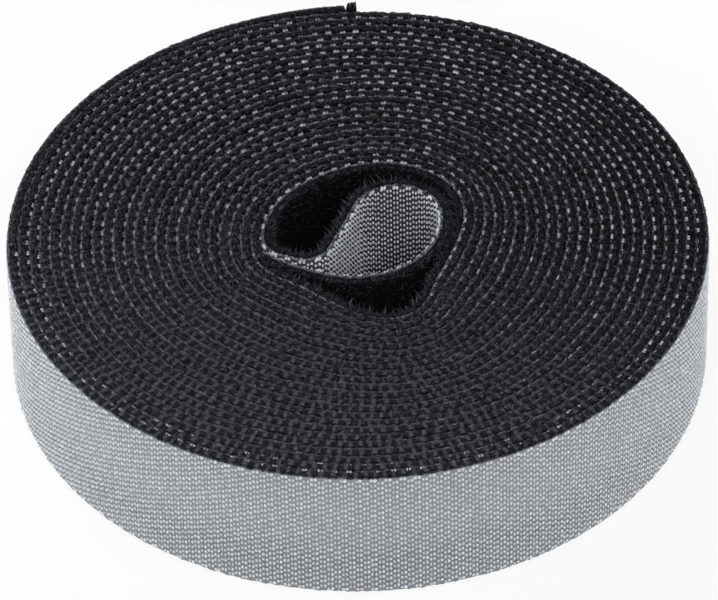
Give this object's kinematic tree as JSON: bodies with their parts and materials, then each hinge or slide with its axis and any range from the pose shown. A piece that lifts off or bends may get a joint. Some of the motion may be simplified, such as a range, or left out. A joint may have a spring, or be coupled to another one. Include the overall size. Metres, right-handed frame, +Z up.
{
  "type": "hook and loop tape roll",
  "caption": "Coreless roll of double-faced hook and loop tape, grey hook face out and black pile in, with a folded inner end in its hollow and an outer end that peels off.",
  "frame": {"origin": "on the table under the middle of the roll", "axes": "+Z up along the winding's axis and across the tape's width, +Y towards the free outer end, +X to the right seen from the front"},
  "size_m": [0.113, 0.1142, 0.025],
  "materials": {
    "hook_cloth": "dark woven ground with pairs of light grey filament hooks",
    "loop_cloth": "black brushed pile of fine fibres"
  },
  "bodies": {
    "roll": {"hook_tape": "hook_cloth", "loop_tape": "loop_cloth"},
    "end_1": {"hook_end_1": "hook_cloth", "loop_end_1": "loop_cloth"},
    "end_2": {"hook_end_2": "hook_cloth", "loop_end_2": "loop_cloth"},
    "end_3": {"hook_end_3": "hook_cloth", "loop_end_3": "loop_cloth"},
    "end_4": {"hook_end_4": "hook_cloth", "loop_end_4": "loop_cloth"},
    "end_5": {"hook_end_5": "hook_cloth", "loop_end_5": "loop_cloth"}
  },
  "joints": [
    {"name": "peel_1", "type": "hinge", "parent": "roll", "child": "end_1", "pos_m": [-0.05656, -0.00051, 0.0125], "axis": [0, 0, 1], "range_deg": [0, 30]},
    {"name": "peel_2", "type": "hinge", "parent": "end_1", "child": "end_2", "pos_m": [-0.05383, 0.01711, 0.0125], "axis": [0, 0, 1], "range_deg": [0, 30]},
    {"name": "peel_3", "type": "hinge", "parent": "end_2", "child": "end_3", "pos_m": [-0.0458, 0.03306, 0.0125], "axis": [0, 0, 1], "range_deg": [0, 30]},
    {"name": "peel_4", "type": "hinge", "parent": "end_3", "child": "end_4", "pos_m": [-0.03321, 0.04577, 0.0125], "axis": [0, 0, 1], "range_deg": [0, 30]},
    {"name": "peel_5", "type": "hinge", "parent": "end_4", "child": "end_5", "pos_m": [-0.0173, 0.05397, 0.0125], "axis": [0, 0, 1], "range_deg": [0, 30]}
  ],
  "couplings": [
    {"joint": "peel_2", "follows": "peel_1", "ratio": 1},
    {"joint": "peel_3", "follows": "peel_1", "ratio": 1},
    {"joint": "peel_4", "follows": "peel_1", "ratio": 1},
    {"joint": "peel_5", "follows": "peel_1", "ratio": 1}
  ]
}
